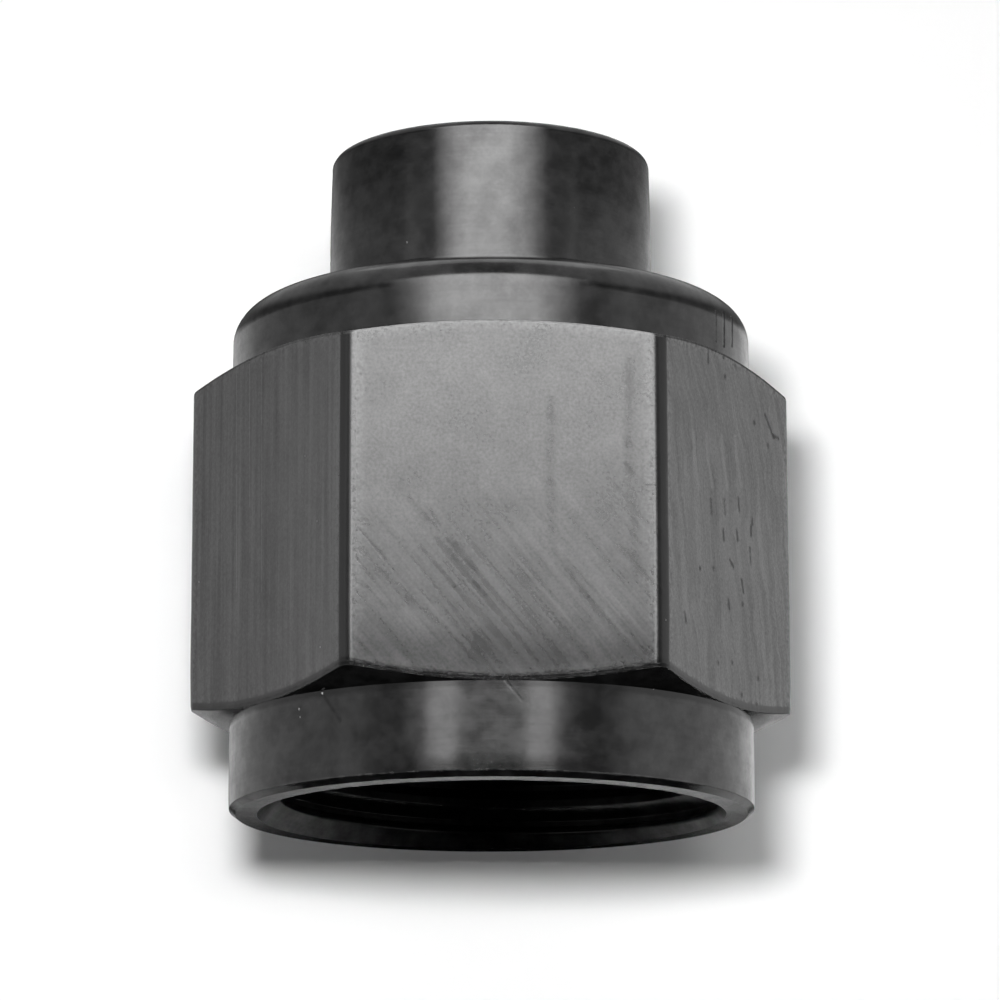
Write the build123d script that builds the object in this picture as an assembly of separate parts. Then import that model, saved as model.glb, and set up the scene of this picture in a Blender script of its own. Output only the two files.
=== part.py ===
from build123d import *
import math
import os

os.makedirs("parts", exist_ok=True)

# Sizes are in millimetres. Z is the axis of the cap, and z = 0 is the open rim it stands on.

# hexagon
across_flats = 25.4
hex_length = 16.9  # height of a flat at its middle
corner_round = 0.9  # radius along the six upright edges
lower_slope = 20.0  # fall of the lower end of the corners, degrees from level
upper_slope = 18.0  # rise of the upper end of the corners, degrees from level

# skirt, the round collar at the open end
skirt_diameter = 25.25
skirt_height = 4.4
rim_bevel_width = 0.35
rim_bevel_height = 0.25

# shoulder, the round collar above the hexagon
shoulder_diameter = 25.25
shoulder_height = 3.45
shoulder_round = 1.7

# knob
knob_diameter = 15.8
knob_height = 7.75
knob_edge_round = 0.35
knob_root_round = 1.0

# bore for the 7/8-14 thread, plain at the crests of the thread
thread_bore_diameter = 20.4
thread_depth = 13.0
mouth_diameter = 22.5
lead_in_height = 1.1
relief_diameter = 22.6  # groove where the thread ends
relief_width = 2.0

# cone seat for a 37 degree flare, and the drilled well past it
seat_diameter = 19.4
seat_half_angle = 37.0
well_diameter = 12.4
well_depth = 0.8
drill_point_angle = 118.0

hex_end = skirt_height + hex_length
shoulder_top = hex_end + shoulder_height
knob_top = shoulder_top + knob_height


def turned(points):
    """Solid made by turning a closed outline of (radius, height) points about the Z axis."""
    outline = make_face(Plane.XZ * Polyline(*points, close=True))
    return revolve(outline, Axis.Z)


def hexagon():
    """Hexagonal middle with rounded upright edges and sloped ends."""
    inradius = across_flats / 2
    reach = across_flats  # a radius well outside the corners
    drop = (reach - inradius) * math.tan(math.radians(upper_slope))
    lift = (reach - inradius) * math.tan(math.radians(lower_slope))
    section = RegularPolygon(inradius, 6, major_radius=False)
    section = fillet(section.vertices(), corner_round)
    prism = Pos(0, 0, skirt_height) * extrude(section, hex_length)
    ends = turned([
        (0, skirt_height),
        (inradius, skirt_height),
        (reach, skirt_height + lift),
        (reach, hex_end - drop),
        (inradius, hex_end),
        (0, hex_end),
    ])
    return prism & ends


def skirt():
    """Round collar at the open end, with a narrow bevel on its outer rim."""
    radius = skirt_diameter / 2
    return turned([
        (0, 0),
        (radius - rim_bevel_width, 0),
        (radius, rim_bevel_height),
        (radius, skirt_height),
        (0, skirt_height),
    ])


def circles_at(solid, height):
    """Circular edges of the solid that lie at one height, the smallest first."""
    level = solid.edges().filter_by(GeomType.CIRCLE).filter_by_position(Axis.Z, height, height)
    return level.sort_by(SortBy.RADIUS)


def crown():
    """Shoulder and blind knob, with rounded edges and a rounded root between them."""
    standing = (Align.CENTER, Align.CENTER, Align.MIN)
    shoulder = Cylinder(shoulder_diameter / 2, shoulder_height, align=standing)
    knob = Cylinder(knob_diameter / 2, knob_height, align=standing)
    solid = Pos(0, 0, hex_end) * shoulder + Pos(0, 0, shoulder_top) * knob
    solid = fillet(circles_at(solid, shoulder_top)[-1], shoulder_round)
    solid = fillet(circles_at(solid, shoulder_top)[0], knob_root_round)
    return fillet(circles_at(solid, knob_top)[-1], knob_edge_round)


def bore():
    """Room inside the cap, from the mouth up to the drill point."""
    bore_radius = thread_bore_diameter / 2
    relief_end = thread_depth + relief_width
    seat_rise = (seat_diameter - well_diameter) / 2 / math.tan(math.radians(seat_half_angle))
    well_top = relief_end + seat_rise + well_depth
    point_rise = well_diameter / 2 / math.tan(math.radians(drill_point_angle / 2))
    return turned([
        (0, 0),
        (mouth_diameter / 2, 0),
        (bore_radius, lead_in_height),
        (bore_radius, thread_depth),
        (relief_diameter / 2, thread_depth),
        (relief_diameter / 2, relief_end),
        (seat_diameter / 2, relief_end),
        (well_diameter / 2, relief_end + seat_rise),
        (well_diameter / 2, well_top),
        (0, well_top + point_rise),
    ])


def cap_body():
    """The whole cap, cut from one bar."""
    return skirt() + hexagon() + crown() - bore()


export_step(cap_body(), "parts/cap_body.step")
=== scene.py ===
"""Looks of a black anodised threaded protection cap, laid out and lit as in its photograph."""

import logging
import math
from dataclasses import dataclass, field
from enum import Enum

import bpy
import numpy as np
from mathutils import Matrix, Vector

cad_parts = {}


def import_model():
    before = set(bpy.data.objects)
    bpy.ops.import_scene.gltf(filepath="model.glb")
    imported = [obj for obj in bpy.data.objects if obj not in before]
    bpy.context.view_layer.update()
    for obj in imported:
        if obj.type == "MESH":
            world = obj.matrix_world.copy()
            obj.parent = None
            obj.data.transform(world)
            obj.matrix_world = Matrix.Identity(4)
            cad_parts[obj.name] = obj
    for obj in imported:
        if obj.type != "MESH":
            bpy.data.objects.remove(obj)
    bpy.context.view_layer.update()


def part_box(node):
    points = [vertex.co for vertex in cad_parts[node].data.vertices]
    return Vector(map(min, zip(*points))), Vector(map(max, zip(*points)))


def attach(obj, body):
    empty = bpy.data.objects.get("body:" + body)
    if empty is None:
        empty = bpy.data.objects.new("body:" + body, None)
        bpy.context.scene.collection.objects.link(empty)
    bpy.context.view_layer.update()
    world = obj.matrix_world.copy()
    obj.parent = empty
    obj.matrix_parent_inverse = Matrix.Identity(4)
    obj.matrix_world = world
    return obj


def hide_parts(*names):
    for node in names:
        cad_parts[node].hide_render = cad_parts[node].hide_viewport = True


log = logging.getLogger("cap")

Socket = bpy.types.NodeSocket
Point = tuple[float, float, float]
Colour = tuple[float, float, float, float]

MM = 0.001
FLATS = 6
SECTOR = math.tau / FLATS
BACK_FLAT = math.pi / 2  # direction of the flat behind, where the columns of points begin
APART = 7.3  # keeps the flats' places apart, so that no two flats look the same
ROOMY = 1000.0  # rounding of a corner that takes all the room beside it
FAR = 99.0  # mm, further than any edge
SHORT = 1e-9  # mm, shorter than any stretch
THIN = 1e-12  # square mm, area of a face that has none
POINTS_PER_MM = 1e5  # points that are the same when counted this finely become one
CREASE = 4.37  # mm, height of the line of painted shade where the hexagon meets the skirt
BEND = 13.0  # mm, height where the lines of a slow cutter begin to bend
ORIGIN = (0.0, 0.0, 0.0)
BLACK = (0.0, 0.0, 0.0, 1.0)
WHITE = (1.0, 1.0, 1.0, 1.0)
NODE = "cap_body"


class Surface(Enum):
    """How a stretch of the cap was cut, which decides its tool marks."""

    TURNED = 0
    MILLED = 1
    BORED = 2


class Flat(Enum):
    """The flats of the hexagon, named as the photograph sees them."""

    BACK = 0
    BACK_LEFT = 1
    LEFT = 2
    FRONT = 3
    RIGHT = 4
    BACK_RIGHT = 5


class Seen(Enum):
    """Who sees a lamp: the gloss of the cap, or the matt floor and backdrop."""

    GLOSS = 0
    MATT = 1


@dataclass
class Columns:
    """Upright columns of points round the cap, close together at the hexagon's rounded edges.

    Attributes:
        angle: Direction of each column in radians, rising through one full turn.
        along: Place along its own flat in mm, 0 at the middle of the flat.
        closing: Place of the same column in mm, measured along the flat before it.
        flat: Number of the flat that each column lies on, or next to.
        hexagon: Distance from the axis to the hexagon's side in mm.
        border: 1 where a flat ends at a rounded edge, falling to 0 further in, and -1 on the rounds between
            flats, which get painted shade.
    """

    angle: np.ndarray
    along: np.ndarray
    closing: np.ndarray
    flat: np.ndarray
    hexagon: np.ndarray
    border: np.ndarray


@dataclass
class Band:
    """A stretch of the cap's skin, as rows of points from the knob down and then up the bore.

    Attributes:
        radius: Distance from the axis in mm, one row of values for each row of points.
        height: Height in mm, in the same layout.
        edge: 1 on an outer edge and 0 away from it, in the same layout.
        border: 1 where a surface ends, falling to 0 further in, in the same layout.
        surface: How the stretch was cut.
    """

    radius: np.ndarray
    height: np.ndarray
    edge: np.ndarray
    border: np.ndarray
    surface: Surface


@dataclass
class Corner:
    """A corner of the cap's outline, before it is rounded.

    Attributes:
        radius: Distance from the axis in mm, one value or one for each column.
        height: Height in mm, one value or one for each column.
        rounding: Radius of the round at this corner in mm, 0 for none.
        steps: Number of straight steps that the round is made of.
        sharp: Whether it is an outer edge that wears.
    """

    radius: float | np.ndarray
    height: float | np.ndarray
    rounding: float = 0.0
    steps: int = 4
    sharp: bool = True


@dataclass
class Outline:
    """Turns a list of corners into a band of points.

    Attributes:
        columns: The columns that the band has points in.
        near: Distances from an edge, in mm, where a straight stretch gets rows of its own.
        reach: Distance in mm over which the wear of an edge fades.
        margin: Width in mm of the border that runs along an edge.
        most: Largest share of a straight stretch that one round takes up.
    """

    columns: Columns
    near: tuple[float, ...] = (0.07, 0.18, 0.34, 0.52)
    reach: float = 0.12
    margin: float = 0.5
    most: float = 0.48

    def band(self, corners: list[Corner], surface: Surface) -> Band:
        """Rounds the corners and fills the straight stretches between them.

        Args:
            corners: The outline's corners in order. The first and last aren't rounded.
            surface: How the stretch was cut.

        Returns:
            The band.
        """
        points = [self._point(corner) for corner in corners]
        rows, edges = [points[0]], [float(corners[0].sharp)]
        for before, at, after, corner in zip(points, points[1:], points[2:], corners[1:]):
            arc = self._arc(before, at, after, corner)
            self._fill(rows, edges, arc[0])
            rows.extend(arc)
            edges.extend([float(corner.sharp)] * len(arc))
        self._fill(rows, edges, points[-1])
        rows.append(points[-1])
        edges.append(float(corners[-1].sharp))
        stack = np.stack(rows)
        gap = self._gap(stack, np.array(edges))
        worn, border = np.exp(-((gap / self.reach) ** 2)), np.clip(1 - gap / self.margin, 0, 1)
        return Band(stack[..., 0], stack[..., 1], worn, border, surface)

    def _point(self, corner: Corner) -> np.ndarray:
        """A corner's radius and height in every column."""
        zeros = np.zeros_like(self.columns.angle)
        return np.stack([zeros + corner.radius, zeros + corner.height], axis=-1)

    def _arc(self, before: np.ndarray, at: np.ndarray, after: np.ndarray, corner: Corner) -> list[np.ndarray]:
        """Points of the round at a corner, as an exact circular arc.

        Args:
            before: The point before it.
            at: The point of the corner itself.
            after: The point after it.
            corner: The corner, for its rounding.

        Returns:
            One array for each row, just the corner where it isn't rounded.
        """
        if corner.rounding == 0:
            return [at]
        down, along = at - before, after - at
        length_in = np.linalg.norm(down, axis=-1, keepdims=True)
        length_out = np.linalg.norm(along, axis=-1, keepdims=True)
        down, along = down / length_in, along / length_out
        half_turn = np.arccos(np.clip((down * along).sum(-1, keepdims=True), -1, 1)) / 2
        room = self.most * np.minimum(length_in, length_out)
        setback = np.minimum(corner.rounding * np.tan(half_turn), room)
        start, end = at - down * setback, at + along * setback
        rows = []
        for t in np.linspace(0, 1, corner.steps + 1):
            first, middle, last = (1 - t) ** 2, 2 * t * (1 - t) * np.cos(half_turn), t**2
            rows.append((first * start + middle * at + last * end) / (first + middle + last))
        return rows

    def _fill(self, rows: list[np.ndarray], edges: list[float], end: np.ndarray) -> None:
        """Adds rows to a straight stretch, close together near its two ends.

        Args:
            rows: The rows so far, which the new ones are added to.
            edges: Their edge values, which grow in step.
            end: The point that the stretch runs to.
        """
        start = rows[-1]
        length = np.maximum(np.linalg.norm(end - start, axis=-1, keepdims=True), SHORT)
        count = 2 * len(self.near) + 1
        shares = [np.minimum(distance / length, (k + 1) / count) for k, distance in enumerate(self.near)]
        shares += [1 - share for share in reversed(shares)]
        rows.extend(start + (end - start) * share for share in shares)
        edges.extend([0.0] * len(shares))

    def _gap(self, stack: np.ndarray, edges: np.ndarray) -> np.ndarray:
        """How far each point is from the nearest worn edge, measured along the outline.

        Args:
            stack: The band's points.
            edges: 1 for each row that lies on a worn edge.

        Returns:
            Array of shape (rows, columns), in mm.
        """
        steps = np.linalg.norm(np.diff(stack, axis=0), axis=-1)
        place = np.concatenate([np.zeros((1, stack.shape[1])), np.cumsum(steps, axis=0)])
        gap = np.full_like(place, FAR)
        for row in np.flatnonzero(edges):
            gap = np.minimum(gap, np.abs(place - place[row]))
        return gap


@dataclass
class Knob:
    """Solid round knob on top of the cap, its wall rolled off a little below the top. Sizes in mm."""

    diameter: float = 15.8
    edge_round: float = 0.35
    roll_height: float = 3.4
    roll_depth: float = 0.09

    def corners(self, top: float) -> list[Corner]:
        """The knob's outline, from the middle of its top.

        Args:
            top: Height of its top in mm.

        Returns:
            The corners down to the one where its wall is straight.
        """
        radius = self.diameter / 2
        return [
            Corner(0.0, top, sharp=False),
            Corner(radius - self.roll_depth, top, self.edge_round, 6, sharp=False),
            Corner(radius, top - self.roll_height, ROOMY, 6, sharp=False),
        ]


@dataclass
class Shoulder:
    """Round collar above the hexagon. Sizes in mm."""

    diameter: float = 25.25
    height: float = 3.45
    edge_round: float = 1.7
    root_round: float = 1.0

    def corners(self, knob_radius: float, foot: float) -> list[Corner]:
        """The shoulder's outline, from the root of the knob outwards.

        Args:
            knob_radius: Radius of the knob that stands on it.
            foot: Height of its lower end.

        Returns:
            The corners at the knob's root and at its own upper edge.
        """
        top = foot + self.height
        return [
            Corner(knob_radius, top, self.root_round, 6, sharp=False),
            Corner(self.diameter / 2, top, self.edge_round, 14, sharp=False),
        ]


@dataclass
class Hexagon:
    """Hexagonal middle with rounded upright edges and coned ends. Sizes in mm, slopes in degrees."""

    across_flats: float = 25.4
    length: float = 16.9
    corner_round: float = 0.9005
    lower_slope: float = 20.0
    upper_slope: float = 18.0
    upper_break: float = 0.1  # height of the narrow bevel at the upper end of a flat
    lower_break: float = 0.17  # the same at the lower end
    break_width: float = 0.03
    break_round: float = 0.1
    roll_height: float = 1.9  # strip above the lower end where a flat rolls off a little
    roll_depth: float = 0.04
    margin: float = 0.5  # width of the border along the upright edges
    rubbed: float = 0.25  # share of an upright edge's round, from each side, that is bright with wear
    handover: float = 0.7  # share of the round that still counts as next to the flat before it
    flat_points: int = 35
    corner_points: int = 11

    @property
    def half_width(self) -> float:
        """Half the width of the plane part of a flat."""
        return (self.across_flats / 2 - self.corner_round) * math.tan(SECTOR / 2)

    def columns(self) -> Columns:
        """Places the columns: along each flat, then round the edge to the next.

        Returns:
            The columns, with the first one again at the end of the ring.
        """
        inradius, half, corner = self.across_flats / 2, self.half_width, self.corner_round
        spread = np.sin(np.linspace(-math.pi / 2, math.pi / 2, self.flat_points))
        even = np.linspace(-1, 1, self.flat_points)
        across = half * (0.5 * spread + 0.5 * even)
        turn = np.linspace(0, SECTOR, self.corner_points + 2)[1:-1]
        x = np.concatenate([across, half + corner * np.sin(turn)])
        y = np.concatenate([np.full_like(across, inradius), inradius - corner + corner * np.cos(turn)])
        along = np.concatenate([across, half + corner * turn])
        inner = np.clip(1 - (half - np.abs(across)) / self.margin, 0, 1)
        rubbed = np.minimum(turn, SECTOR - turn) < self.rubbed * SECTOR
        angles, flats, borders = [], [], []
        for flat in range(FLATS):
            angles.append(BACK_FLAT + flat * SECTOR + np.arctan2(x, y))
            nearest = np.where(turn < self.handover * SECTOR, flat, (flat + 1) % FLATS)
            flats.append(np.concatenate([np.full_like(across, flat), nearest]).astype(int))
            # The rest of each round is marked -1, for the painted shade that the milled finishes give it.
            bright = rubbed & (nearest == Flat.FRONT.value)
            borders.append(np.concatenate([inner, np.where(bright, 1.0, -1.0)]))
        closing = np.tile(along, (FLATS, 1))
        closing[:, 0] = half + corner * SECTOR
        ring = [
            np.concatenate(angles), np.tile(along, FLATS), closing.reshape(-1), np.concatenate(flats),
            np.tile(np.hypot(x, y), FLATS), np.concatenate(borders),
        ]
        ends = [ring[0][0] + math.tau] + [part[0] for part in ring[1:]]
        return Columns(*[np.append(part, end) for part, end in zip(ring, ends)])

    def end(self, radius: float | np.ndarray, foot: float, upper: bool) -> float | np.ndarray:
        """Height of one of the coned ends.

        Args:
            radius: Distance from the axis.
            foot: Height of the lower end of a flat at its middle.
            upper: True for the upper end.

        Returns:
            The height of the cone there.
        """
        out = radius - self.across_flats / 2
        if upper:
            return foot + self.length - out * math.tan(math.radians(self.upper_slope))
        return foot + out * math.tan(math.radians(self.lower_slope))

    def corners(self, radius: np.ndarray, foot: float) -> list[Corner]:
        """The outline of the hexagon's side, with a narrow bevel at each end.

        Args:
            radius: Distance from the axis to the side in every column.
            foot: Height of the lower end of a flat at its middle.

        Returns:
            The corners from the upper bevel down to the lower one.
        """
        top, low = self.end(radius, foot, True), self.end(radius, foot, False)
        rolled = radius - self.roll_depth
        upper, lower = radius - self.break_width, rolled - self.break_width
        return [
            Corner(upper, self.end(upper, foot, True)),
            Corner(radius, top - self.upper_break, self.break_round, 3),
            Corner(radius, low + self.roll_height, ROOMY, 6, sharp=False),
            Corner(rolled, low + self.lower_break, self.break_round, 3),
            Corner(lower, self.end(lower, foot, False)),
        ]


@dataclass
class Skirt:
    """Round collar at the open end, with a bevelled rim. Sizes in mm."""

    diameter: float = 25.25
    height: float = 4.4
    bevel_width: float = 0.35
    bevel_height: float = 0.25
    edge_round: float = 0.05
    roll_height: float = 0.6  # strip above the bevel where the wall rolls off a little
    roll_depth: float = 0.02

    def corners(self, mouth_radius: float) -> list[Corner]:
        """The skirt's outline, from the foot of its straight wall to the mouth.

        Args:
            mouth_radius: Radius of the mouth.

        Returns:
            The corners of the rolled strip, the bevel, the rim and the mouth.
        """
        radius = self.diameter / 2
        return [
            Corner(radius, self.bevel_height + self.roll_height, ROOMY, 6, sharp=False),
            Corner(radius - self.roll_depth, self.bevel_height, self.edge_round),
            Corner(radius - self.bevel_width, 0.0, self.edge_round),
            Corner(mouth_radius, 0.0),
        ]


@dataclass
class Thread:
    """Internal 7/8-14 thread with its lead-in cone. Sizes in mm."""

    major_diameter: float = 22.225
    crest_diameter: float = 20.4
    pitch: float = 25.4 / 14
    crest_share: float = 0.25  # of the pitch
    flank_angle: float = 30.0
    depth: float = 13.0
    mouth_diameter: float = 22.5
    lead_in: float = 1.1
    fine_turns: int = 2
    fine_steps: int = 4

    def band(self, columns: Columns) -> Band:
        """Winds the thread up the bore, open to the lead-in cone at its mouth.

        Args:
            columns: The columns of points.

        Returns:
            The band, from the mouth to the end of the thread.
        """
        crest, flank, root = self._widths()
        stops = [0, crest / 2, crest, crest + flank, crest + flank + root / 2, crest + flank + root, 1]
        places: list[float] = []
        for turn in range(-1, math.ceil(self.depth / self.pitch) + 1):
            steps = self.fine_steps if turn < self.fine_turns else 1
            for low, high in zip(stops, stops[1:]):
                places.extend(turn + np.linspace(low, high, steps, endpoint=False))
        wound = (columns.angle - columns.angle[0]) / math.tau
        height = (np.array(places)[:, None] + wound[None, :]) * self.pitch
        height = np.clip(height, 0, self.depth)
        widening = self.mouth_diameter - self.crest_diameter
        radius = self._radius(height / self.pitch - wound[None, :])
        radius = np.maximum(radius, self.mouth_diameter / 2 - height / self.lead_in * widening / 2)
        return Band(radius, height, np.zeros_like(radius), np.zeros_like(radius), Surface.BORED)

    def _widths(self) -> tuple[float, float, float]:
        """Shares out the pitch.

        Returns:
            The widths of crest, flank and root as shares of the pitch.
        """
        rise = (self.major_diameter - self.crest_diameter) / 2
        flank = rise * math.tan(math.radians(self.flank_angle)) / self.pitch
        return self.crest_share, flank, 1 - self.crest_share - 2 * flank

    def _radius(self, place: np.ndarray) -> np.ndarray:
        """Radius of the thread at a place counted in pitches from the start of a crest.

        Args:
            place: The number of pitches.

        Returns:
            The radius there.
        """
        crest, flank, root = self._widths()
        low, high = self.crest_diameter / 2, self.major_diameter / 2
        stops = [0, crest, crest + flank, crest + flank + root, 1]
        return np.interp(place % 1.0, stops, [low, low, high, high, low])


@dataclass
class Well:
    """Inner end of the bore: run-out groove, cone seat and drilled well. Sizes in mm and degrees."""

    relief_diameter: float = 22.6
    relief_width: float = 2.0
    seat_diameter: float = 19.4
    seat_half_angle: float = 37.0
    well_diameter: float = 12.4
    well_depth: float = 0.8
    drill_point_angle: float = 118.0

    def corners(self, start: np.ndarray, foot: float) -> list[Corner]:
        """The outline from the end of the thread to the drill point.

        Args:
            start: Radius of the thread's last row in every column.
            foot: Height where the thread ends.

        Returns:
            The corners.
        """
        relief, seat, well = self.relief_diameter / 2, self.seat_diameter / 2, self.well_diameter / 2
        groove = foot + self.relief_width
        seat_end = groove + (seat - well) / math.tan(math.radians(self.seat_half_angle))
        top = seat_end + self.well_depth
        tip = top + well / math.tan(math.radians(self.drill_point_angle / 2))
        outline = [
            (start, foot, 0.0), (relief, foot, 0.1), (relief, groove, 0.1), (seat, groove, 0.05),
            (well, seat_end, 0.05), (well, top, 0.1), (0.0, tip, 0.0),
        ]
        return [Corner(radius, height, rounding, 2, sharp=False) for radius, height, rounding in outline]


@dataclass
class NodeTree:
    """Short way to add and join shader nodes.

    Attributes:
        tree: The node tree that it works on.
    """

    tree: bpy.types.NodeTree

    def add(
        self, kind: str, inputs: dict[str | int, object] | None = None, **settings: object
    ) -> bpy.types.Node:
        """Adds a node.

        Args:
            kind: The node's type name, without its leading words where they are ShaderNode.
            inputs: Values or sockets for its inputs, by name or number.
            **settings: Properties of the node.

        Returns:
            The node.
        """
        node = self.tree.nodes.new(kind if kind.startswith("NodeGroup") else "ShaderNode" + kind)
        for name, value in settings.items():
            setattr(node, name, value)
        for name, value in (inputs or {}).items():
            if isinstance(value, Socket):
                self.tree.links.new(value, node.inputs[name])
            else:
                node.inputs[name].default_value = value
        return node

    def attribute(self, name: str) -> Socket:
        """The value of a mesh attribute."""
        return self.add("Attribute", attribute_name=name).outputs["Fac"]

    def split(self, value: Socket) -> tuple[Socket, Socket, Socket]:
        """The three parts of a vector."""
        return tuple(self.add("SeparateXYZ", {0: value}).outputs)

    def math(self, operation: str, first: object, second: object = 0.0) -> Socket:
        """Adds a Math node.

        Args:
            operation: Its operation.
            first: First value or socket.
            second: Second value or socket.

        Returns:
            Its output.
        """
        return self.add("Math", {0: first, 1: second}, operation=operation).outputs[0]

    def plus(self, first: object, second: object) -> Socket:
        """Adds two values."""
        return self.math("ADD", first, second)

    def minus(self, first: object, second: object) -> Socket:
        """Takes the second value from the first."""
        return self.math("SUBTRACT", first, second)

    def times(self, first: object, *others: object) -> Socket:
        """Multiplies values one after the other.

        Args:
            first: First value or socket.
            *others: The other values or sockets.

        Returns:
            The product's socket.
        """
        for value in others:
            first = self.math("MULTIPLY", first, value)
        return first

    def total(self, *parts: tuple[object, object]) -> Socket:
        """Adds up weighted values.

        Args:
            *parts: Pairs of a value or socket and its weight.

        Returns:
            The sum's socket.
        """
        result: object = 0.0
        for value, weight in parts:
            result = self.add("Math", {0: value, 1: weight, 2: result}, operation="MULTIPLY_ADD").outputs[0]
        return result

    def vector(self, operation: str, first: object, second: object) -> Socket:
        """Adds a Vector Math node.

        Args:
            operation: Its operation.
            first: First vector or socket.
            second: Second vector or socket, or the factor that scales the first.

        Returns:
            Its output, which is a number for a dot product or a distance.
        """
        inputs = {0: first, "Scale" if operation == "SCALE" else 1: second}
        outputs = self.add("VectorMath", inputs, operation=operation).outputs
        return outputs["Value" if operation in ("DOT_PRODUCT", "DISTANCE") else "Vector"]

    def remap(self, value: object, low: object, high: object, to_low: object, to_high: object) -> Socket:
        """Maps a range of values smoothly to another.

        Args:
            value: The value or socket to map.
            low: Start of its range.
            high: End of its range.
            to_low: Result at the start.
            to_high: Result at the end.

        Returns:
            The result's socket.
        """
        ends = {"Value": value, "From Min": low, "From Max": high, "To Min": to_low, "To Max": to_high}
        return self.add("MapRange", ends, interpolation_type="SMOOTHSTEP").outputs["Result"]

    def blend(self, share: object, first: object, second: object) -> Socket:
        """Mixes two colours.

        Args:
            share: How much of the second.
            first: First colour or socket.
            second: Second colour or socket.

        Returns:
            The mixed colour's socket.
        """
        return self.add("Mix", {0: share, 6: first, 7: second}, data_type="RGBA").outputs[2]


def blank(owner: bpy.types.Material | bpy.types.World) -> NodeTree:
    """Gives a material or world an empty node tree.

    Args:
        owner: The material or world.

    Returns:
        Its nodes.
    """
    owner.use_nodes = True
    owner.node_tree.nodes.clear()
    return NodeTree(owner.node_tree)


@dataclass
class Effect:
    """A shared shader node group with named inputs and one output.

    Attributes:
        name: The group's name.
        output: Name of its output value.
        inputs: Starting value of each named input.
    """

    name: str
    output: str
    inputs: dict[str, float | Point]
    nodes: NodeTree = field(init=False)
    given: bpy.types.bpy_prop_collection = field(init=False)

    def __post_init__(self) -> None:
        """Makes the group with its sockets."""
        tree = bpy.data.node_groups.new(self.name, "ShaderNodeTree")
        for name, value in self.inputs.items():
            kind = "NodeSocketVector" if isinstance(value, tuple) else "NodeSocketFloat"
            tree.interface.new_socket(name, in_out="INPUT", socket_type=kind).default_value = value
        tree.interface.new_socket(self.output, in_out="OUTPUT", socket_type="NodeSocketFloat")
        self.nodes = NodeTree(tree)
        self.given = self.nodes.add("NodeGroupInput").outputs

    def finish(self, result: Socket) -> "Effect":
        """Joins the group's output to its result.

        Args:
            result: The result's socket.

        Returns:
            The effect itself.
        """
        self.nodes.add("NodeGroupOutput", {self.output: result})
        return self

    def place(self, nodes: NodeTree, inputs: dict[str, object]) -> Socket:
        """Places the group in a material.

        Args:
            nodes: The material's nodes.
            inputs: Values or sockets for the group's inputs.

        Returns:
            Its output.
        """
        return nodes.add("Group", inputs, node_tree=self.nodes.tree).outputs[0]


@dataclass
class Effects:
    """The effects that the cap's finishes share."""

    streaks: Effect = field(init=False)
    nicks: Effect = field(init=False)
    specks: Effect = field(init=False)
    scratch: Effect = field(init=False)

    def __post_init__(self) -> None:
        """Builds each group once."""
        self.streaks, self.nicks = self._streaks(), self._nicks()
        self.specks, self.scratch = self._specks(), self._scratch()

    def _streaks(self) -> Effect:
        """Fine parallel lines that a tool leaves.

        Returns:
            The effect, which gives a height from 0 to 1.
        """
        inputs = {"Vector": ORIGIN, "Angle": 0.0, "Stretch": (1.0, 1.0, 1.0), "Seed": 0.0, "Detail": 2.0}
        made = Effect("tool_streaks", "Height", inputs)
        nodes, given = made.nodes, made.given
        turned = nodes.add(
            "VectorRotate", {"Vector": given["Vector"], "Angle": given["Angle"]}, rotation_type="Z_AXIS"
        ).outputs[0]
        scaled = nodes.vector("MULTIPLY", turned, given["Stretch"])
        noise = {"Vector": scaled, "W": given["Seed"], "Scale": 1.0, "Roughness": 0.6}
        noise["Detail"] = given["Detail"]
        return made.finish(nodes.add("TexNoise", noise, noise_dimensions="4D").outputs[0])

    def _nicks(self) -> Effect:
        """Bright nicks along the outer edges.

        Returns:
            The effect, which gives a mask.
        """
        made = Effect("edge_nicks", "Mask", {"Vector": ORIGIN, "Edge": 0.0, "Scale": 3.0, "Amount": 0.5})
        nodes, given = made.nodes, made.given
        noise = {"Vector": given["Vector"], "Scale": given["Scale"], "Detail": 4.0, "Roughness": 0.7}
        level = nodes.plus(nodes.add("TexNoise", noise).outputs[0], nodes.times(given["Amount"], 0.35))
        return made.finish(nodes.remap(nodes.times(level, given["Edge"]), 0.62, 0.78, 0.0, 1.0))

    def _specks(self) -> Effect:
        """Few small specks and pits.

        Returns:
            The effect, which gives a mask.
        """
        inputs = {"Vector": ORIGIN, "Scale": 1.0, "Size": 0.1, "Share": 0.1}
        made = Effect("handling_specks", "Mask", inputs)
        nodes, given = made.nodes, made.given
        cells = nodes.add("TexVoronoi", {"Vector": given["Vector"], "Scale": given["Scale"]}).outputs
        near = nodes.math("LESS_THAN", cells["Distance"], given["Size"])
        pick = nodes.add("SeparateColor", {0: cells["Color"]}).outputs[0]
        return made.finish(nodes.times(near, nodes.math("LESS_THAN", pick, given["Share"])))

    def _scratch(self) -> Effect:
        """One straight scratch between two points, or a pit.

        Returns:
            The effect, which gives a depth.
        """
        inputs = {"Vector": ORIGIN, "Start": ORIGIN, "End": (1.0, 0.0, 0.0), "Width": 0.1, "Deep": 1.0}
        made = Effect("single_scratch", "Depth", inputs)
        nodes, given = made.nodes, made.given
        run = nodes.vector("SUBTRACT", given["End"], given["Start"])
        reach = nodes.vector("SUBTRACT", given["Vector"], given["Start"])
        covered, length = nodes.vector("DOT_PRODUCT", reach, run), nodes.vector("DOT_PRODUCT", run, run)
        ends = {0: covered, 1: nodes.plus(length, 0.0001)}
        share = nodes.add("Math", ends, operation="DIVIDE", use_clamp=True).outputs[0]
        gap = nodes.vector("DISTANCE", reach, nodes.vector("SCALE", run, share))
        return made.finish(nodes.remap(gap, 0.0, given["Width"], given["Deep"], 0.0))


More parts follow.
